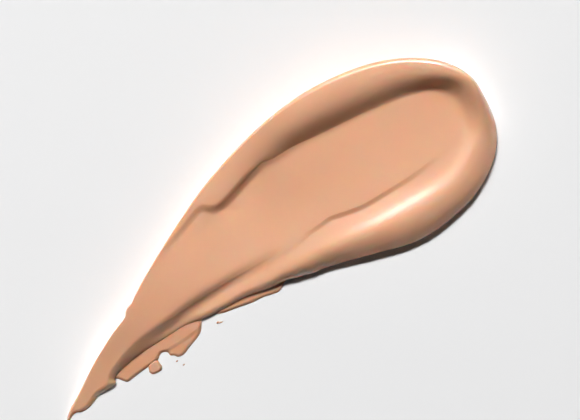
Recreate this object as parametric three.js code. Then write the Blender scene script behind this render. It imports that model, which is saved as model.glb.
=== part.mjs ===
// A swipe of liquid foundation lying on a flat surface: a thin tail, a flat pressed trough and a
// thick rounded rim, with the thin layers and torn crumbs beside it. Millimetres. +X runs from the
// tail to the head, +Y to the side of the steep rim, +Z up. Every piece rests on z = 0.
import * as THREE from 'three';
import { ParametricGeometry } from 'three/addons/geometries/ParametricGeometry.js';

// Overall size.
const strokeLength = 67; // tail tip to head tip
const headWidth = 24; // across both edges at their widest

// The steep rim along the upper edge.
const rimHeight = 5.2;
const rimCrest = 1.5; // from the outer edge in to the top of the rim
const rimFoot = 6.2; // from the outer edge in to the trough

// The broad, gently sloping rim along the lower edge of the head.
const lowerRimHeight = 3.2;
const lowerRimCrest = 3.4;
const lowerRimFoot = 7.2;

// The narrow rim round the head's tip, which both of them run into.
const tipRimHeight = 3.8;
const tipRimCrest = 1;
const tipRimFoot = 3.4;

// Thickness of the flat stretches, and the radius that their edges round off to.
const troughThickness = 2.5;
const plateauThickness = 2.7;
const tailThickness = 0.7;
const edgeRadius = 0.8;

// The groove between the plateau and the ridge on the lower side.
const grooveDepth = 0.8;
const grooveWidth = 1.3;

// The thin layers and crumbs beside the body.
const ledgeThickness = 0.5;
const filmThickness = 0.35;
const thinEdgeRadius = 0.25;
const clearance = 0.3; // between one piece and the next
const nubLength = 1.5;
const nubWidth = 1;
const nubHeight = 0.5;
const flakeLength = 0.95;
const flakeWidth = 0.4;
const flakeHeight = 0.18;
const speckSize = 0.3;
const speckHeight = 0.14;

const cream = { roughness: 0.22, metalness: 0 };
const bodyColour = 0xe0a987;
const thinColour = 0xca9979;

// Places on the two edges of the body, as shares of the length and of the width, tail to head.
const upperEdge = edgeCurve([
  [0, 0], [0.015, 0.039], [0.06, 0.095], [0.119, 0.168], [0.179, 0.224], [0.219, 0.253], [0.231, 0.281],
  [0.243, 0.285], [0.257, 0.304], [0.299, 0.353], [0.388, 0.442], [0.478, 0.517], [0.567, 0.562],
  [0.657, 0.581], [0.746, 0.567], [0.836, 0.506], [0.896, 0.434], [0.94, 0.348], [0.975, 0.25],
  [0.994, 0.158], [1, 0.05],
]);
const lowerEdge = edgeCurve([
  [0, 0], [0.027, 0.023], [0.039, 0.006], [0.055, 0], [0.085, 0.017], [0.101, 0.008], [0.122, 0.01],
  [0.128, 0.035], [0.157, 0.051], [0.187, 0.052], [0.245, 0.036], [0.287, 0.023], [0.304, 0.008],
  [0.329, -0.017], [0.385, -0.048], [0.418, -0.067], [0.448, -0.096], [0.47, -0.117], [0.494, -0.129],
  [0.513, -0.156], [0.542, -0.19], [0.56, -0.202], [0.597, -0.242], [0.657, -0.315], [0.716, -0.385],
  [0.761, -0.415], [0.806, -0.42], [0.858, -0.408], [0.91, -0.362], [0.952, -0.29], [0.979, -0.2],
  [0.994, -0.108], [1, 0.05],
]);
const grooveLine = edgeCurve([
  [0.16, 0.062], [0.2, 0.075], [0.26, 0.087], [0.35, 0.078], [0.43, 0.047], [0.5, 0.025],
]);

// How far each thin layer reaches out from the body's lower edge: shares of that edge, then millimetres.
const ledgeReach = reachCurve([
  [0.124, 0], [0.127, 0.8], [0.132, 1.35], [0.147, 1.5], [0.179, 1.7], [0.197, 1.5], [0.203, 1.2],
  [0.209, 1.05], [0.215, 1.55], [0.221, 2.2], [0.227, 2.7], [0.235, 2.8], [0.249, 2.5], [0.272, 1.9],
  [0.283, 1.3], [0.29, 0.6], [0.295, 0],
]);
const filmReach = reachCurve([
  [0.318, 0], [0.335, 0.2], [0.365, 0.45], [0.39, 0.65], [0.41, 0.7], [0.43, 0.65], [0.441, 0.25], [0.447, 0],
]);
const nubStation = 0.184; // share of the body's lower edge that the nub lies against
const flakePlace = [0.3465, -0.0825]; // shares of the length and of the width
// Beside the ledge's torn edge: shares of the body's lower edge, then the free space beyond the clearance.
const speckPlaces = [[0.223, 0.26], [0.2285, 0.7]];

function edgeCurve(shares) {
  const points = shares.map(([x, y]) => new THREE.Vector3(x * strokeLength, y * headWidth, 0));
  return new THREE.CatmullRomCurve3(points, false, 'centripetal');
}

function reachCurve(pairs) {
  const first = pairs[0][0];
  const last = pairs[pairs.length - 1][0];
  const reachAt = (station) => {
    const after = Math.max(1, pairs.findIndex((pair) => pair[0] >= station));
    const [from, to] = [pairs[after - 1], pairs[after]];
    const share = THREE.MathUtils.smootherstep(station, from[0], to[0]);
    return THREE.MathUtils.lerp(from[1], to[1], share);
  };
  return { first, last, reachAt };
}

// A quarter-round from 0 at an edge to 1 at the radius.
function rounded(distance, radius) {
  const left = 1 - Math.min(distance / radius, 1);
  return Math.sqrt(1 - left * left);
}

// 1 on the rim's crest, round to the outer edge and falling smoothly to 0 at its foot.
function rimShape(distance, crest, foot) {
  if (distance < crest) return rounded(distance, crest);
  return 1 - THREE.MathUtils.smootherstep(distance, crest, foot);
}

const stations = 400;
const outline = [
  ...upperEdge.getSpacedPoints(stations).map((point, i) => ({ point, share: i / stations, upper: true })),
  ...lowerEdge.getSpacedPoints(stations).map((point, i) => ({ point, share: i / stations, upper: false })),
];
const groovePoints = grooveLine.getSpacedPoints(80).map((point) => ({ point }));

function nearest(x, y, places) {
  let best = places[0];
  let least = Infinity;
  for (const place of places) {
    const distance = Math.hypot(place.point.x - x, place.point.y - y);
    if (distance < least) {
      least = distance;
      best = place;
    }
  }
  return { distance: least, ...best };
}

function bodyHeight(x, y) {
  const { smoothstep, lerp } = THREE.MathUtils;
  const { distance, share, upper } = nearest(x, y, outline);
  const along = x / strokeLength;
  const plateau = lerp(tailThickness, plateauThickness, smoothstep(along, 0, 0.35));
  const flat = lerp(plateau, troughThickness, smoothstep(along, 0.5, 0.66));
  const nearTip = smoothstep(share, 0.8, 0.97);
  const height = lerp(upper ? rimHeight : lowerRimHeight, tipRimHeight, nearTip);
  const crest = lerp(upper ? rimCrest : lowerRimCrest, tipRimCrest, nearTip);
  const foot = lerp(upper ? rimFoot : lowerRimFoot, tipRimFoot, nearTip);
  const built = upper ? smoothstep(share, 0.3, 0.6) : smoothstep(share, 0.42, 0.66);
  const rim = (height - flat) * built * rimShape(distance, crest, foot);
  const fromGroove = nearest(x, y, groovePoints).distance / grooveWidth;
  const groove = grooveDepth * Math.exp(-fromGroove * fromGroove);
  return (flat - groove) * rounded(distance, edgeRadius) + rim;
}

// A closed solid on z = 0 between two edges that meet at both ends. Its surface runs over the top
// from the lower edge to the upper one, then back underneath.
function layer(lowerAt, upperAt, heightAt, columns, topRows, bottomRows) {
  const topShare = topRows / (topRows + bottomRows);
  const surface = (u, v, target) => {
    const onTop = v < topShare;
    const across = onTop ? v / topShare : (1 - v) / (1 - topShare);
    const eased = (1 - Math.cos(Math.PI * across)) / 2;
    const low = lowerAt(u);
    const high = upperAt(u);
    target.lerpVectors(low, high, eased);
    const atEdge = v === 0 || v === 1 || u === 0 || u === 1;
    target.z = onTop && !atEdge ? heightAt(target.x, target.y, low, high) : 0;
  };
  return new ParametricGeometry(surface, columns, topRows + bottomRows);
}

function thinHeight(thickness) {
  return (x, y, low, high) => {
    const fromLow = Math.hypot(x - low.x, y - low.y);
    const fromHigh = Math.hypot(x - high.x, y - high.y);
    return thickness * rounded(Math.min(fromLow, fromHigh), thinEdgeRadius);
  };
}

function outwardAt(station) {
  const along = lowerEdge.getTangentAt(station);
  return new THREE.Vector3(along.y, -along.x, 0);
}

function besideBody(station, reach) {
  return lowerEdge.getPointAt(station).addScaledVector(outwardAt(station), clearance + reach);
}

function thinLayer(reach, thickness, columns, rows) {
  const stationAt = (u) => THREE.MathUtils.lerp(reach.first, reach.last, u);
  const outerAt = (u) => besideBody(stationAt(u), u === 0 || u === 1 ? 0 : reach.reachAt(stationAt(u)));
  const innerAt = (u) => besideBody(stationAt(u), 0);
  return layer(outerAt, innerAt, thinHeight(thickness), columns, rows, rows);
}

// A low dome with an oval foot, centred on the origin.
function crumb(length, width, height) {
  const lean = 0.25; // one end is fuller than the other
  const halfAt = (u) => (width / 2) * Math.sin(Math.PI * u) * (1 + lean * Math.cos(Math.PI * u));
  const acrossAt = (side) => (u) => new THREE.Vector3((-length / 2) * Math.cos(Math.PI * u), side * halfAt(u), 0);
  const domeHeight = (x, y, low, high) => {
    const inX = (2 * x) / length;
    const inY = y / Math.max(high.y, 1e-6);
    return height * Math.sqrt(Math.max(0, (1 - inX * inX) * (1 - inY * inY)));
  };
  return layer(acrossAt(-1), acrossAt(1), domeHeight, 16, 10, 6);
}

const part = new THREE.Group();

function addPiece(name, geometry, colour) {
  const material = new THREE.MeshStandardMaterial({ color: colour, ...cream });
  const mesh = new THREE.Mesh(geometry, material);
  mesh.name = name;
  part.add(mesh);
  return mesh;
}

const lowerAt = (u) => lowerEdge.getPointAt(u);
const upperAt = (u) => upperEdge.getPointAt(u);
addPiece('smear_body', layer(lowerAt, upperAt, bodyHeight, 104, 40, 16), bodyColour);
addPiece('tail_ledge', thinLayer(ledgeReach, ledgeThickness, 60, 8), thinColour);
addPiece('edge_film', thinLayer(filmReach, filmThickness, 40, 6), thinColour);

const nubReach = ledgeReach.reachAt(nubStation) + clearance + nubWidth / 2;
const nub = addPiece('torn_nub', crumb(nubLength, nubWidth, nubHeight), thinColour);
nub.position.copy(besideBody(nubStation, nubReach));

const flake = addPiece('stray_flake', crumb(flakeLength, flakeWidth, flakeHeight), thinColour);
flake.position.set(flakePlace[0] * strokeLength, flakePlace[1] * headWidth, 0);
flake.rotation.z = -0.35;

speckPlaces.forEach(([station, space], i) => {
  const speck = addPiece(`stray_speck_${i + 1}`, crumb(speckSize, speckSize, speckHeight), thinColour);
  const speckReach = ledgeReach.reachAt(station) + clearance + space + speckSize / 2;
  speck.position.copy(besideBody(station, speckReach));
});

// The middle of the whole swipe's footprint is the origin.
const footprint = new THREE.Box3().setFromObject(part).getCenter(new THREE.Vector3());
part.position.set(-footprint.x, -footprint.y, 0);

export default part;
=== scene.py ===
"""The looks of a swipe of liquid foundation: fine relief, wet cream, a pale slab and soft studio light.

Shapes are drawn in millimetres on the swipe itself: x runs from the tail's tip to the head, y to the
side of the steep rim, and z up from the slab. They are placed and scaled by the CAD body, so they
follow its size.
"""

import math

import bmesh
import bpy
import numpy as np
from mathutils import Matrix, Vector


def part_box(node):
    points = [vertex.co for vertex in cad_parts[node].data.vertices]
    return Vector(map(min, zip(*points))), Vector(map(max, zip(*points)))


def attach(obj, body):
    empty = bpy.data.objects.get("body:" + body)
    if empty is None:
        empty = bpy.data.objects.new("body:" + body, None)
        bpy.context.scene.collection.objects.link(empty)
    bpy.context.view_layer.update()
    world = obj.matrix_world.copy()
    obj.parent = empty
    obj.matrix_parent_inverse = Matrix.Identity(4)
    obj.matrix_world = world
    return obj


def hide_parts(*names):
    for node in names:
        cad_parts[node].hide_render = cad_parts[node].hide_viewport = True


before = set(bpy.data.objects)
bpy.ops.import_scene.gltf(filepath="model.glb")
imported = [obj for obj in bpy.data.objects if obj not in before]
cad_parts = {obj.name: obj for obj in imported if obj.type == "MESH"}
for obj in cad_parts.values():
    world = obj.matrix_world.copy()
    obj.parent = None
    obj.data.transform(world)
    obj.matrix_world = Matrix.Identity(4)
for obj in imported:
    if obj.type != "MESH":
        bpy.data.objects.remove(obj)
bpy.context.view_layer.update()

# ---- The drawing's scale and place, from the CAD body ----

DRAWN_LENGTH = 67.0
body_low, body_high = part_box("smear_body")
tail_tip = min((v.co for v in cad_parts["smear_body"].data.vertices), key=lambda co: co.x).copy()
MM = (body_high.x - body_low.x) / DRAWN_LENGTH


def placed(x, y, z=0.0):
    """A drawn point, in metres in the row frame."""
    return Vector((tail_tip.x + x * MM, tail_tip.y + y * MM, z * MM))


# ---- Curves and profiles ----

# These keep a division from failing where two points coincide, and where the two edges meet.
TINY = 1e-12
LEAST_WIDTH = 1e-6


def curve(points, count):
    """An evenly spaced run of points along a smooth curve through the given ones."""
    p = np.array(points, float)
    p = np.vstack([2 * p[0] - p[1], p, 2 * p[-1] - p[-2]])
    steps = 24
    found = []
    for before, start, end, after in zip(p, p[1:], p[2:], p[3:]):
        t0, t1 = 0.0, math.sqrt(np.linalg.norm(start - before))
        t2 = t1 + math.sqrt(np.linalg.norm(end - start))
        t3 = t2 + math.sqrt(np.linalg.norm(after - end))
        t = np.linspace(t1, t2, steps, endpoint=False)[:, None]
        a1 = ((t1 - t) * before + (t - t0) * start) / (t1 - t0)
        a2 = ((t2 - t) * start + (t - t1) * end) / (t2 - t1)
        a3 = ((t3 - t) * end + (t - t2) * after) / (t3 - t2)
        b1 = ((t2 - t) * a1 + (t - t0) * a2) / (t2 - t0)
        b2 = ((t3 - t) * a2 + (t - t1) * a3) / (t3 - t1)
        found.append(((t2 - t) * b1 + (t - t1) * b2) / (t2 - t1))
    found = np.vstack(found + [p[-2][None]])
    run = np.concatenate([[0], np.cumsum(np.linalg.norm(np.diff(found, axis=0), axis=1))])
    even = np.linspace(0, run[-1], count)
    return np.stack([np.interp(even, run, found[:, axis]) for axis in range(2)], axis=1)


def eased(value, start, end):
    """0 before start and 1 after end, smooth between them."""
    t = np.clip((value - start) / (end - start), 0, 1)
    return t * t * (3 - 2 * t)


def keyed(value, keys):
    """A smooth curve through (place, value) keys that doesn't overshoot them."""
    x, y = np.array(keys, float).T
    gap = np.diff(x)
    rise = np.diff(y) / gap
    slope = np.zeros(len(x))
    for i in range(1, len(x) - 1):
        if rise[i - 1] * rise[i] > 0:
            slope[i] = 2 * rise[i - 1] * rise[i] / (rise[i - 1] + rise[i])
    value = np.clip(value, x[0], x[-1])
    i = np.clip(np.searchsorted(x, value, side="right") - 1, 0, len(gap) - 1)
    t = (value - x[i]) / gap[i]
    ends = (2 * t**3 - 3 * t**2 + 1) * y[i] + (3 * t**2 - 2 * t**3) * y[i + 1]
    return ends + (t**3 - 2 * t**2 + t) * gap[i] * slope[i] + (t**3 - t**2) * gap[i] * slope[i + 1]


def rounded(distance, radius, bulge, bluntness):
    """A rounded side, 0 at an edge and 1 from the radius on. A bulge of 2 with a bluntness of 0.5 is a
    quarter circle."""
    left = 1 - np.clip(distance / radius, 0, 1)
    return np.maximum(1 - left**bulge, 0) ** bluntness


def directions(line):
    """Which way a line runs at each of its points, in vectors of length 1."""
    along = np.gradient(line, axis=0)
    return along / (np.linalg.norm(along, axis=1)[:, None] + TINY)


def nearest(points, line, chunk=8000):
    """For each point: its distance to the line, and how far it lies to the line's left."""
    along = directions(line)
    index = np.concatenate([
        ((part[:, None].astype(np.float32) - line[None].astype(np.float32)) ** 2).sum(2).argmin(1)
        for part in np.array_split(points, len(points) // chunk + 1)
    ])
    apart = points - line[index]
    left = along[index, 0] * apart[:, 1] - along[index, 1] * apart[:, 0]
    at_end = (index == 0) | (index == len(line) - 1)
    distance = np.where(at_end, np.linalg.norm(apart, axis=1), np.abs(left))
    return distance, left


# ---- Lines drawn on the swipe ----

EDGE_POINTS = 480
upper_edge = curve([
    (0, 0), (1, 0.93), (4, 2.28), (8, 4.03), (12, 5.38), (14.7, 6.08), (15.1, 6.5), (15.6, 6.78),
    (16.3, 6.85), (17.2, 7.3), (20, 8.48), (26, 10.62), (32, 12.4), (38, 13.48), (44, 13.95),
    (50, 13.6), (56, 12.15), (60, 10.42), (63, 8.35), (65.2, 6.1), (66.45, 3.9), (66.93, 2.2),
    (67, 1.2),
], EDGE_POINTS)
lower_edge = curve([
    (0, 0), (1.83, 0.55), (2.6, 0.15), (3.7, 0), (5.7, 0.4), (6.8, 0.22), (8.2, 0.25), (8.6, 0.84),
    (10.5, 1.22), (12.5, 1.25), (16.4, 0.87), (19.2, 0.55), (20.4, 0.2), (22.05, -0.4), (25.8, -1.15),
    (28, -1.6), (30, -2.3), (31.5, -2.8), (33.1, -3.1), (34.4, -3.75), (35.2, -4), (36.3, -4.55),
    (37.5, -4.85), (40, -5.8), (44, -7.55), (48, -9.25), (51, -9.95), (54, -10.08), (57.5, -9.8),
    (61, -8.7), (63.8, -6.95), (65.6, -4.8), (66.5, -2.5), (66.93, 0.2), (67, 1.2),
], EDGE_POINTS)
groove_line = curve([(15, 2.3), (17.5, 2.05), (20, 2), (24, 1.75), (28, 1.25), (32, 0.65), (36, 0.1)], 240)
shelf_line = curve([
    (22.3, 8.75), (24, 9.3), (25.3, 9.6), (26.6, 9.85), (27.8, 10.1), (29, 10.4), (29.9, 10.55),
    (30.7, 10.45), (31.2, 10.1),
], 240)
lip_line = curve([
    (30.7, 10.35), (31.3, 9.75), (31.9, 9.4), (33.3, 9.3), (34.7, 9.45), (36.2, 9.72), (37.7, 9.98),
    (38.8, 10.1), (39.9, 10.2), (40.8, 9.98), (41.3, 9.75),
], 240)
crease_line = curve([
    (37.9, -0.05), (38.5, 0.02), (39.3, -0.05), (40.7, -0.2), (42.2, -0.25), (43.4, -0.7),
    (44.5, -1.1), (46.4, -1.7), (49, -2.1), (51.8, -2.45), (54, -2.7), (56.1, -2.72), (58, -2.7),
], 300)
# Mesh rows run along these two, so that folds and creases stay crisp.
upper_track = curve([
    (22.3, 8.75), (25.3, 9.6), (29, 10.4), (30.7, 10.35), (31.3, 9.75), (31.9, 9.4), (33.3, 9.3),
    (36.2, 9.72), (38.8, 10.1), (39.9, 10.2), (41.3, 9.75), (44, 9.4), (47, 8.6), (50, 7.9),
    (54, 6.95), (58, 5.6), (60.5, 4.6),
], 400)
lower_track = curve([
    (15, 2.5), (20, 2.15), (24, 1.75), (28, 1.25), (32, 0.65), (36, 0.1), (38.5, -0.1), (40.7, -0.2),
    (42.2, -0.25), (43.4, -0.7), (46.4, -1.7), (49, -2.1), (51.8, -2.45), (54, -2.7), (56.1, -2.72),
    (58, -2.7), (61, -2.2),
], 400)

# ---- The body's relief ----

# By millimetres along the swipe: how thick it is on its upper side, how far its face leans down to the
# lower side, how deep the face lies below the groove's line, and how high the soft ridge below it is.
BASE_KEYS = [
    (0, 0.4), (4, 0.9), (8, 1.8), (14, 2.85), (20, 3), (28, 2.85), (36, 2.7), (48, 2.95), (60, 2.5),
    (67, 1.95),
]
LEAN_KEYS = [(0, 0.1), (8, 0.5), (20, 0.9), (30, 0.8), (40, 0.45), (60, 0.45), (67, 0.2)]
GROOVE_KEYS = [(11, 0), (14, 0.35), (18, 1.15), (21, 1.3), (26, 1.15), (30, 0.75), (34, 0.2), (36.5, 0)]
RIDGE_KEYS = [(15, 0), (20, 0.08), (28, 0.12), (34, 0.05), (38, 0)]
# How far to each side of its line the groove's slope reaches, and how far below it the ridge lies.
GROOVE_SLOPE = (-0.95, 1.05)
RIDGE_BELOW = 1.9
# Between which x the tail's cross-section turns into the head's, and over which share of the width,
# from the upper edge down, each of them leans.
HEAD_BLEND = (34, 46)
TAIL_LEAN = (-0.1, 0.8)
HEAD_LEAN = (0.15, 0.62)
# Both rims, by share of their edge from tail to head.
#   height: how high the crest stands over the flat inside it
#   crest, foot: how far in from the edge the crest and the foot of the inner side lie
#   late: 1 where the inner side is steepest near its foot, 0 where it is steepest near its crest
#   round: how far in from the edge the rounding of the outer side reaches
#   bulge, bluntness: the shape of that rounding
#   lift: how high the edge itself stands over the slab
UPPER_RIM = {
    "height": [
        (0.3, 0), (0.42, 0.2), (0.48, 0.35), (0.54, 0.85), (0.58, 1.45), (0.62, 2.2), (0.67, 2.5),
        (0.73, 2.55), (0.8, 2.25), (0.88, 2.2), (0.95, 2.6), (1, 2.7),
    ],
    "crest": [
        (0.3, 0.5), (0.5, 0.65), (0.6, 0.9), (0.66, 1.3), (0.72, 1.5), (0.8, 1.5), (0.86, 1.2),
        (0.93, 1), (1, 0.9),
    ],
    "foot": [
        (0.3, 3.2), (0.5, 4.6), (0.56, 4.9), (0.62, 5.3), (0.66, 5.8), (0.72, 6.3), (0.8, 6),
        (0.86, 5.1), (0.92, 4), (1, 3.1),
    ],
    "late": [(0, 1), (1, 1)],
    "round": [(0, 0.12), (0.3, 0.2), (0.5, 0.3), (0.6, 0.45), (0.7, 0.7), (0.85, 0.85), (1, 0.9)],
    "bulge": [(0, 2.5), (1, 2.5)],
    "bluntness": [(0, 0.5), (1, 0.5)],
    "lift": [(0, 0.02), (0.3, 0.3), (0.45, 0.8), (0.6, 1.7), (0.72, 2.2), (0.88, 1.8), (1, 0.9)],
}
LOWER_RIM = {
    "height": [
        (0.36, 0), (0.45, 0.12), (0.52, 0.28), (0.607, 0.5), (0.663, 0.64), (0.72, 0.64), (0.77, 0.54),
        (0.8, 0.54), (0.83, 0.5), (0.86, 0.38), (0.9, 0.4), (0.94, 0.9), (0.97, 1.8), (1, 2.7),
    ],
    "crest": [
        (0.36, 0.9), (0.43, 1.3), (0.52, 1.9), (0.607, 2.6), (0.663, 3.2), (0.72, 3.6), (0.76, 3.2),
        (0.8, 2.9), (0.84, 3.4), (0.88, 3), (0.92, 2.2), (0.96, 1.4), (1, 1),
    ],
    "foot": [
        (0.36, 3), (0.45, 4), (0.52, 4.9), (0.607, 6), (0.663, 7.2), (0.72, 7.2), (0.743, 6.5),
        (0.77, 5.9), (0.8, 5.5), (0.84, 5.7), (0.88, 5), (0.92, 4.2), (0.96, 3.6), (1, 3.1),
    ],
    "late": [(0, 0), (0.86, 0), (1, 1)],
    "round": [
        (0, 0.5), (0.05, 1), (0.1, 1.1), (0.14, 1.4), (0.19, 2.4), (0.22, 2.2), (0.26, 1.5),
        (0.3, 0.9), (0.36, 0.8), (0.43, 1.1), (0.52, 2.2), (0.607, 2.9), (0.663, 3.7), (0.72, 4),
        (0.76, 3.6), (0.8, 3.4), (0.84, 3.8), (0.88, 3.4), (0.92, 2.6), (0.96, 1.6), (1, 0.9),
    ],
    "bulge": [
        (0, 2), (0.44, 2), (0.52, 1.6), (0.607, 1.7), (0.663, 1.95), (0.72, 2.2), (0.85, 2.2),
        (1, 2.5),
    ],
    "bluntness": [
        (0, 0.8), (0.14, 0.9), (0.26, 0.9), (0.32, 0.75), (0.44, 0.75), (0.52, 0.95), (0.8, 0.95),
        (0.9, 0.75), (1, 0.5),
    ],
    "lift": [
        (0, 0.02), (0.1, 0.06), (0.12, 0.45), (0.27, 0.45), (0.3, 0.3), (0.44, 0.4), (0.52, 0.8),
        (0.61, 1.15), (0.7, 1), (0.8, 0.85), (0.9, 0.65), (1, 0.6),
    ],
}
# How steep a rim's inner side is, from its crest at 0 to its foot at 1.
LATE_SLOPE = [
    (0, 0), (0.11, 0.08), (0.22, 0.19), (0.33, 0.35), (0.45, 0.58), (0.56, 0.84), (0.67, 1),
    (0.78, 0.92), (0.89, 0.5), (1, 0),
]
EARLY_SLOPE = [
    (0, 0), (0.09, 0.68), (0.21, 1), (0.38, 0.78), (0.55, 0.48), (0.7, 0.3), (0.85, 0.12), (1, 0),
]
outline = np.vstack([upper_edge, lower_edge[-2:0:-1]])
edge_share = np.linspace(0, 1, EDGE_POINTS)
# What the rims are at each point of the outline: a row for a point, a column for a name.
rim_table = np.stack([
    np.concatenate([keyed(edge_share, UPPER_RIM[name]), keyed(edge_share, LOWER_RIM[name])[-2:0:-1]])
    for name in UPPER_RIM
], axis=1)
# By share of their lines: how deep the fold's lip, the shelf's step and the crease's step are.
LIP_KEYS = [(0, 0), (0.1, 0.4), (0.22, 0.7), (0.5, 0.7), (0.7, 0.5), (0.84, 0.2), (0.93, 0), (1, 0)]
SHELF_KEYS = [(0, 0), (0.25, 0.25), (0.6, 0.35), (0.9, 0.3), (1, 0)]
CREASE_KEYS = [(0, 0), (0.08, 0.15), (0.3, 0.4), (0.55, 0.33), (0.8, 0.2), (1, 0)]
# Small bubbles on the tip's rim: x, y, radius and height.
BUBBLES = [
    (64.75, -0.3, 0.22, 0.1), (64.85, 0.25, 0.16, 0.07), (62.95, 3.75, 0.18, 0.08),
    (63.4, 3.2, 0.14, 0.06),
]
# Over how many millimetres a value given along a line runs into its neighbours.
RIM_BLEND = 0.7
STEP_BLEND = 0.6
# Evening the relief out starts this far in from the edge, and is at its full from the second on.
EVENED_FROM = (0.3, 1.6)
TOP_PASSES = 60
SIDE_PASSES = 20
# The edge stands no higher than this share of the cream beside it, and the cream is no thinner than this.
MOST_LIFT = 0.5
LEAST_HEIGHT = 0.005
# How far a side curls back under: the body's by share of its edges, and a thin piece's all along. The
# curl is made of rings at these degrees.
BODY_TUCK_KEYS = [(0, 0), (0.3, 0.05), (0.6, 0.35), (0.9, 0.4), (1, 0.3)]
THIN_TUCK = 0.03
CURL_DEGREES = [20, 40, 60]
# The body's rows of faces: up to the lower track, up to the upper track, and up to the upper edge.
BODY_ROWS = (60, 64, 60)
# A thin piece's edge is this share of its full thickness.
THIN_EDGE = 0.06
# Points closer than WELD are joined, and edges shorter than SLIVER are dropped, in metres.
WELD = 2e-8
SLIVER = 1e-9


def fallen(share, slope_keys):
    """How far a rim has come down from its crest, 0 to 1."""
    steps = np.linspace(0, 1, 201)
    slope = keyed(steps, slope_keys)
    fall = np.concatenate([[0], np.cumsum((slope[1:] + slope[:-1]) / 2)])
    return np.interp(share, steps, fall / fall[-1])


def blended(points, line, values, spread, chunk=6000):
    """Values given along a line, blended at each point from the parts of the line that lie nearest."""
    farthest = 20  # in spreads past the nearest part: what lies there weighs next to nothing
    line = line.astype(np.float32)
    found = []
    for part in np.array_split(points.astype(np.float32), len(points) // chunk + 1):
        apart = np.sqrt(((part[:, None] - line[None]) ** 2).sum(2))
        weight = np.exp(-np.clip((apart - apart.min(1)[:, None]) / spread, 0, farthest))
        found.append(weight @ values / weight.sum(1)[:, None])
    return np.concatenate(found).astype(float)


def stepped(points, line, keys, before, after, fade, reach):
    """How much lower the surface lies just right of a line, fading away from it. The step starts
    before the line and ends after it, and nothing changes beyond the reach."""
    distance, left = nearest(points, line)
    drops = keyed(np.linspace(0, 1, len(line)), keys)[:, None]
    drop = blended(points, line, drops, STEP_BLEND)[:, 0] * eased(-left, -before, after)
    return drop * np.exp(-np.maximum(-left, 0) / fade) * (1 - eased(distance, reach / 3, reach))


def smoothed(grid, weight, passes):
    """Evens a grid out, mostly along the swipe, where the weight is above 0."""
    for _ in range(passes):
        mean = grid.copy()
        mean[1:-1] = (grid[:-2] + 2 * grid[1:-1] + grid[2:]) / 4
        mean[:, 1:-1] = (mean[:, :-2] + 6 * mean[:, 1:-1] + mean[:, 2:]) / 8
        grid = grid + weight * (mean - grid)
    return grid


def body_height(grid):
    """How high the body's surface stands over a grid of points."""
    points = grid.reshape(-1, 2)
    x, y = points.T
    from_edge, _ = nearest(points, outline)
    low = np.interp(x, lower_edge[:, 0], lower_edge[:, 1])
    high = np.interp(x, upper_edge[:, 0], upper_edge[:, 1])
    down = np.clip((high - y) / np.maximum(high - low, LEAST_WIDTH), 0, 1)
    head = eased(x, *HEAD_BLEND)
    lean = (1 - head) * eased(down, *TAIL_LEAN) + head * eased(down, *HEAD_LEAN)
    flat = keyed(x, BASE_KEYS) - keyed(x, LEAN_KEYS) * lean
    _, above_groove = nearest(points, groove_line)
    flat -= keyed(x, GROOVE_KEYS) * (1 - eased(above_groove, *GROOVE_SLOPE))
    flat += keyed(x, RIDGE_KEYS) * np.exp(-((above_groove + RIDGE_BELOW) ** 2))
    near = dict(zip(UPPER_RIM, blended(points, outline, rim_table, RIM_BLEND).T))
    crest, foot, late = near["crest"], near["foot"], near["late"]
    inwards = np.clip((from_edge - crest) / (foot - crest), 0, 1)
    rim = 1 - late * fallen(inwards, LATE_SLOPE) - (1 - late) * fallen(inwards, EARLY_SLOPE)
    top = flat + near["height"] * rim
    inside = eased(from_edge, *EVENED_FROM).reshape(grid.shape[:2])
    top = smoothed(top.reshape(grid.shape[:2]), inside, TOP_PASSES).ravel()
    top -= stepped(points, lip_line, LIP_KEYS, before=0.65, after=0.75, fade=20, reach=12)
    top -= stepped(points, shelf_line, SHELF_KEYS, before=0.5, after=0.6, fade=2.5, reach=6)
    top -= stepped(points, crease_line, CREASE_KEYS, before=0.1, after=0.7, fade=1.6, reach=6)
    for at_x, at_y, radius, rise in BUBBLES:
        top += rise * np.exp(-((x - at_x) ** 2 + (y - at_y) ** 2) / radius**2)
    lift = np.minimum(near["lift"], MOST_LIFT * top)
    side = rounded(from_edge, near["round"], near["bulge"], near["bluntness"])
    side = smoothed(side.reshape(grid.shape[:2]), inside, SIDE_PASSES).ravel()
    height = lift + (top - lift) * side
    return np.maximum(height, LEAST_HEIGHT).reshape(grid.shape[:2])


# ---- Meshes ----


def crossings(line, low, high, at_start, at_end):
    """Where each cross-line from low to high meets a line, as a share of the cross-line."""
    span = high - low
    share = np.full(len(low), np.nan)
    for i, (start, across) in enumerate(zip(low, span)):
        side = (line[:, 0] - start[0]) * across[1] - (line[:, 1] - start[1]) * across[0]
        turns = np.nonzero(side[:-1] * side[1:] <= 0)[0]
        if len(turns) and across @ across > 0:
            k = turns[0]
            t = side[k] / (side[k] - side[k + 1]) if side[k] != side[k + 1] else 0
            point = line[k] + t * (line[k + 1] - line[k])
            share[i] = (point - start) @ across / (across @ across)
    known = np.nonzero(~np.isnan(share))[0]
    places = np.concatenate([[0], known, [len(low) - 1]])
    values = np.concatenate([[at_start], share[known], [at_end]])
    return np.interp(np.arange(len(low)), places, values)


def row_shares(breaks, counts, closeness=0.6):
    """Shares across each station: rows between the breaks, closer together near them."""
    parts = []
    for start, end, count in zip(breaks, breaks[1:], counts):
        t = np.linspace(0, 1, count, endpoint=False)
        t = t - closeness * np.sin(2 * math.pi * t) / (2 * math.pi)
        parts.append(start[:, None] + (end - start)[:, None] * t[None])
    parts.append(breaks[-1][:, None])
    return np.hstack(parts)


def outward(edge, side):
    """Level directions out of the cream, from each point of an edge. The side is 1 or -1."""
    along = directions(edge)
    return side * np.stack([along[:, 1], -along[:, 0]], axis=1)


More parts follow.
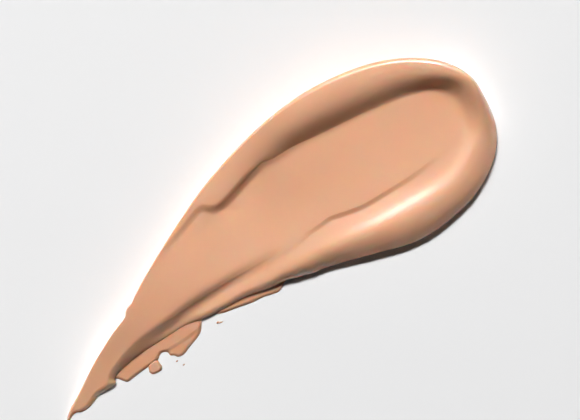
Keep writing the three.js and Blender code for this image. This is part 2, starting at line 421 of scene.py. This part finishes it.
def layer(name, low, high, shares, height_at, tuck):
    """A closed mesh between two edges, from its rows' shares across and its height over each point.
    The tuck is how far its side curls back under, in millimetres at each station."""
    points = low[:, None] + (high - low)[:, None] * shares[:, :, None]
    stations, rows = shares.shape
    height = height_at(points)
    curl = np.radians(CURL_DEGREES)
    under = (1 - np.cos(curl)) / (1 - math.cos(curl[-1]))
    down = 1 - np.sin(curl) / math.sin(curl[-1])
    columns = [(points[:, j], height[:, j]) for j in range(rows)]
    for edge, side, end in ((low, 1, 0), (high, -1, -1)):
        inward = -outward(edge, side)
        ring = [
            (points[:, end] + inward * (tuck * in_share)[:, None], height[:, end] * up_share)
            for in_share, up_share in zip(under, down)
        ]
        columns = ring[::-1] + columns if end == 0 else columns + ring
    x = np.stack([c[0][:, 0] for c in columns], axis=1)
    y = np.stack([c[0][:, 1] for c in columns], axis=1)
    z = np.stack([c[1] for c in columns], axis=1)
    width = x.shape[1]
    vertices = np.stack([x.ravel() * MM + tail_tip.x, y.ravel() * MM + tail_tip.y, z.ravel() * MM], axis=1)
    station, row = np.meshgrid(np.arange(stations - 1), np.arange(width), indexing="ij")
    here, after = station * width, (station + 1) * width
    next_row = (row + 1) % width
    faces = np.stack([here + row, after + row, after + next_row, here + next_row], axis=-1)
    mesh = bpy.data.meshes.new(name)
    mesh.from_pydata(vertices.tolist(), [], faces.reshape(-1, 4).tolist())
    tidy = bmesh.new()
    tidy.from_mesh(mesh)
    bmesh.ops.remove_doubles(tidy, verts=tidy.verts, dist=WELD)
    bmesh.ops.dissolve_degenerate(tidy, edges=tidy.edges, dist=SLIVER)
    bmesh.ops.recalc_face_normals(tidy, faces=tidy.faces)
    tidy.to_mesh(mesh)
    tidy.free()
    mesh.shade_smooth()
    piece = bpy.data.objects.new(name, mesh)
    bpy.context.scene.collection.objects.link(piece)
    return piece


def body_piece():
    """The main mass of cream."""
    breaks = [
        np.zeros(EDGE_POINTS),
        crossings(lower_track, lower_edge, upper_edge, at_start=0.4, at_end=0.4),
        crossings(upper_track, lower_edge, upper_edge, at_start=0.8, at_end=0.72),
        np.ones(EDGE_POINTS),
    ]
    shares = row_shares(breaks, BODY_ROWS)
    tuck = keyed(edge_share, BODY_TUCK_KEYS)
    tuck[[0, -1]] = 0
    return layer("smear_body_skin", lower_edge, upper_edge, shares, body_height, tuck)


def thin_piece(name, low_points, high_points, thickness, radius, stations, rows):
    """A thin layer or a crumb: two edges that meet at both ends, and a rounded top between them."""
    low, high = curve(low_points, stations), curve(high_points, stations)
    high[0], high[-1] = low[0], low[-1]
    border = np.vstack([low, high[-2:0:-1]])
    breaks = [np.zeros(stations), np.ones(stations)]

    def height_at(grid):
        points = grid.reshape(-1, 2)
        from_edge, _ = nearest(points, border)
        thick = thickness(points) if callable(thickness) else thickness
        side = rounded(from_edge, radius, bulge=2, bluntness=1)
        return (thick * (THIN_EDGE + (1 - THIN_EDGE) * side)).reshape(grid.shape[:2])

    tuck = np.full(stations, THIN_TUCK)
    tuck[[0, -1]] = 0
    return layer(name, low, high, row_shares(breaks, (rows,)), height_at, tuck)


def ledge_thickness(points):
    """How thick the ledge is: lightly wavy, and thinner between a soft fold and its torn edge."""
    full = 0.36
    thinner_by = 0.12
    wave_height = 0.03
    fold = curve([(15.6, -0.55), (17, -0.75), (18.5, -0.9), (20, -1.05), (21.4, -0.9)], 120)
    _, above = nearest(points, fold)
    wavy = wave_height * np.sin(points[:, 0] * 1.7) * np.cos(points[:, 1] * 2.3)
    below_fold = (1 - eased(above, -0.25, 0.3)) * eased(points[:, 0], 15.2, 16.4)
    return full + wavy - thinner_by * below_fold


def ledge_piece():
    """The thin lower layer beside the tail."""
    low = [
        (8.5, 0.9), (9, 0.1), (9.35, -0.45), (9.6, -0.6), (10.5, -0.62), (12, -0.68), (12.9, -0.75),
        (13.6, -0.8), (14.3, -0.72), (14.7, -0.5), (15.1, -0.4), (15.5, -0.6), (15.75, -0.9),
        (15.72, -1.3), (16.1, -1.65), (16.4, -2.1), (17.2, -2.3), (18.2, -2.07), (19.2, -1.85),
        (20, -1.68), (20.7, -1.35), (21.2, -0.85), (21.65, -0.3),
    ]
    high = [(8.5, 0.9), (9.3, 1.6), (12, 2), (16, 1.75), (19.3, 1.3), (20.9, 0.7), (21.65, -0.3)]
    return thin_piece("tail_ledge_skin", low, high, ledge_thickness, radius=0.45, stations=240, rows=44)


def film_piece():
    """The thin film beyond the foot of the lower side."""
    low = [
        (22.2, -0.5), (23.5, -0.95), (24.5, -1.45), (26, -1.95), (28, -2.65), (29.5, -3), (30.5, -3.4),
        (31.5, -3.68), (32.1, -3.5), (32.6, -3.2), (33.1, -3.15), (33.5, -3.3),
    ]
    high = [(22.2, -0.5), (24, -0.35), (26, -0.6), (28, -1), (30, -1.6), (32, -2.3), (33.5, -3.3)]
    return thin_piece("edge_film_skin", low, high, thickness=0.28, radius=0.4, stations=220, rows=30)


def nub_piece():
    """The blob that hangs off the ledge's torn edge."""
    low = [(12.35, -1.3), (12.5, -1.75), (13.1, -2.02), (13.8, -2.02), (14.1, -1.7)]
    high = [(12.35, -1.3), (12.8, -0.6), (13.4, -0.45), (14, -0.6), (14.1, -1.7)]
    return thin_piece("torn_nub_skin", low, high, thickness=0.32, radius=0.35, stations=70, rows=30)


def flake_piece():
    """The flake that lies by itself."""
    low = [(22.74, -1.82), (22.95, -2), (23.4, -2.2), (23.67, -2.13)]
    high = [(22.74, -1.82), (23.1, -1.76), (23.3, -1.97), (23.67, -2.13)]
    return thin_piece("stray_flake_skin", low, high, thickness=0.14, radius=0.12, stations=50, rows=14)


def speck_piece(name, x, y, half_length, half_width):
    """A small oval speck that lies by itself."""
    turn = np.linspace(0, math.pi, 9)
    low = [(x - half_length * math.cos(t), y - half_width * math.sin(t)) for t in turn]
    high = [(x - half_length * math.cos(t), y + half_width * math.sin(t)) for t in turn]
    return thin_piece(name, low, high, thickness=0.1, radius=0.1, stations=30, rows=12)


# ---- Materials ----

# The light noise of tone: how fine it is, per metre, its octaves, and how far it goes either way.
PATCH_SCALE = 90
PATCH_DETAIL = 3
TONE_SPREAD = 0.03
# The wet gloss comes in over the millimetres of y from the first of these to the second.
GLOSS_BLEND = (8.4, 4.4)


def cream(name, colour, gloss):
    """Wet cream: gloss is how strong its clear wet surface is, on the upper side and on the lower."""
    material = bpy.data.materials.new(name)
    material.use_nodes = True
    nodes, links = material.node_tree.nodes, material.node_tree.links
    shader = nodes["Principled BSDF"]
    place = nodes.new("ShaderNodeTexCoord")
    patches = nodes.new("ShaderNodeTexNoise")
    patches.inputs["Scale"].default_value = PATCH_SCALE
    patches.inputs["Detail"].default_value = PATCH_DETAIL
    links.new(place.outputs["Object"], patches.inputs["Vector"])
    tone = nodes.new("ShaderNodeMix")
    tone.data_type = "RGBA"
    tone.inputs["A"].default_value = (*[c * (1 - TONE_SPREAD) for c in colour], 1)
    tone.inputs["B"].default_value = (*[min(1, c * (1 + TONE_SPREAD)) for c in colour], 1)
    links.new(patches.outputs["Fac"], tone.inputs["Factor"])
    links.new(tone.outputs["Result"], shader.inputs["Base Color"])
    axes = nodes.new("ShaderNodeSeparateXYZ")
    links.new(place.outputs["Object"], axes.inputs["Vector"])
    wet = nodes.new("ShaderNodeMapRange")
    wet.interpolation_type = "SMOOTHSTEP"
    wet.inputs["From Min"].default_value = placed(0, GLOSS_BLEND[0]).y
    wet.inputs["From Max"].default_value = placed(0, GLOSS_BLEND[1]).y
    wet.inputs["To Min"].default_value = gloss[0]
    wet.inputs["To Max"].default_value = gloss[1]
    links.new(axes.outputs["Y"], wet.inputs["Value"])
    links.new(wet.outputs["Result"], shader.inputs["Coat Weight"])
    shader.inputs["Coat Roughness"].default_value = 0.16
    shader.inputs["Roughness"].default_value = 0.5
    shader.inputs["IOR"].default_value = 1.45
    shader.inputs["Specular IOR Level"].default_value = 0.08
    shader.inputs["Subsurface Weight"].default_value = 0.7
    shader.inputs["Subsurface Radius"].default_value = (1.0, 0.36, 0.17)
    shader.inputs["Subsurface Scale"].default_value = 0.42 * MM
    return material


body_cream = cream("body_cream", colour=(0.815, 0.45, 0.275), gloss=(0.02, 0.8))
# The thin pieces take the same cream in a darker colour: painted shade, standing in for the shadow and the
# down-sloping faces on the thin layers.
thin_cream = cream("thin_cream", colour=(0.67, 0.355, 0.22), gloss=(0.1, 0.15))


def slab():
    """The pale floor, a hair below the cream so that their faces don't coincide."""
    half = 3.0
    below = 1e-5
    corners = [(-half, -half, 0), (half, -half, 0), (half, half, 0), (-half, half, 0)]
    mesh = bpy.data.meshes.new("slab")
    mesh.from_pydata(corners, [], [(0, 1, 2, 3)])
    floor = bpy.data.objects.new("slab", mesh)
    floor.location.z = -below
    bpy.context.scene.collection.objects.link(floor)
    material = bpy.data.materials.new("pale_slab")
    material.use_nodes = True
    shader = material.node_tree.nodes["Principled BSDF"]
    shader.inputs["Base Color"].default_value = (0.85, 0.85, 0.853, 1)
    shader.inputs["Roughness"].default_value = 1
    shader.inputs["Specular IOR Level"].default_value = 0
    mesh.materials.append(material)


# ---- Assembly ----


def add(piece, node, material):
    """Puts a piece in the place of its CAD node."""
    piece.data.materials.append(material)
    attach(piece, "root")
    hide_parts(node)


add(body_piece(), "smear_body", body_cream)
add(ledge_piece(), "tail_ledge", thin_cream)
add(film_piece(), "edge_film", thin_cream)
add(nub_piece(), "torn_nub", thin_cream)
add(flake_piece(), "stray_flake", thin_cream)
add(speck_piece("stray_speck_1_skin", 15.94, -2.42, 0.16, 0.09), "stray_speck_1", thin_cream)
add(speck_piece("stray_speck_2_skin", 16.31, -3.3, 0.17, 0.1), "stray_speck_2", thin_cream)
slab()

# ---- Light and camera ----

# The camera looks straight down at the subject, turned so that the head is at the upper right.
view_right = Vector((0.778, -0.628, 0))
view_up = Vector((0.628, 0.778, 0))
view_back = Vector((0, 0, 1))
subject = placed(38.97, 3.45)
VIEW_WIDTH = 73.08 * MM


def area_light(name, heading, elevation, distance, wide, tall, watts, only_reflected=False):
    """A lamp that faces the subject: its level heading, its degrees up, and its distance and size in
    metres. One that is only reflected gives no diffuse light and shows as a highlight on wet cream."""
    elevation = math.radians(elevation)
    data = bpy.data.lights.new(name, "AREA")
    data.shape = "RECTANGLE"
    data.size = wide
    data.size_y = tall
    data.energy = watts
    light = bpy.data.objects.new(name, data)
    light.visible_diffuse = not only_reflected
    flat = Vector((*heading, 0)).normalized()
    towards = flat * math.cos(elevation) + Vector((0, 0, math.sin(elevation)))
    light.location = subject + towards * distance
    light.rotation_euler = towards.to_track_quat("Z", "Y").to_euler()
    bpy.context.scene.collection.objects.link(light)


area_light("key", heading=(0.37, 0.93), elevation=50, distance=1.6, wide=0.8, tall=0.2, watts=33)
# The long streak on the lower rim.
area_light(
    "streak", heading=(0.08, 1), elevation=57.5, distance=1.6, wide=1.05, tall=0.05, watts=48,
    only_reflected=True,
)
# The short dash on the upper rim.
area_light(
    "glint", heading=(0.7, 0.72), elevation=25, distance=0.6, wide=0.12, tall=0.26, watts=70,
    only_reflected=True,
)

world = bpy.data.worlds.new("studio")
world.use_nodes = True
backdrop = world.node_tree.nodes["Background"]
backdrop.inputs["Color"].default_value = (1, 1, 1, 1)
backdrop.inputs["Strength"].default_value = 0.02
bpy.context.scene.world = world

camera_data = bpy.data.cameras.new("camera")
camera_data.lens = 85
camera_data.sensor_width = 36
camera = bpy.data.objects.new("camera", camera_data)
eye = subject + view_back * (VIEW_WIDTH * camera_data.lens / camera_data.sensor_width)
turned = Matrix((view_right, view_up, view_back)).transposed().to_4x4()
camera.matrix_world = Matrix.Translation(eye) @ turned
bpy.context.scene.collection.objects.link(camera)
bpy.context.scene.camera = camera
bpy.context.scene.view_settings.view_transform = "Standard"
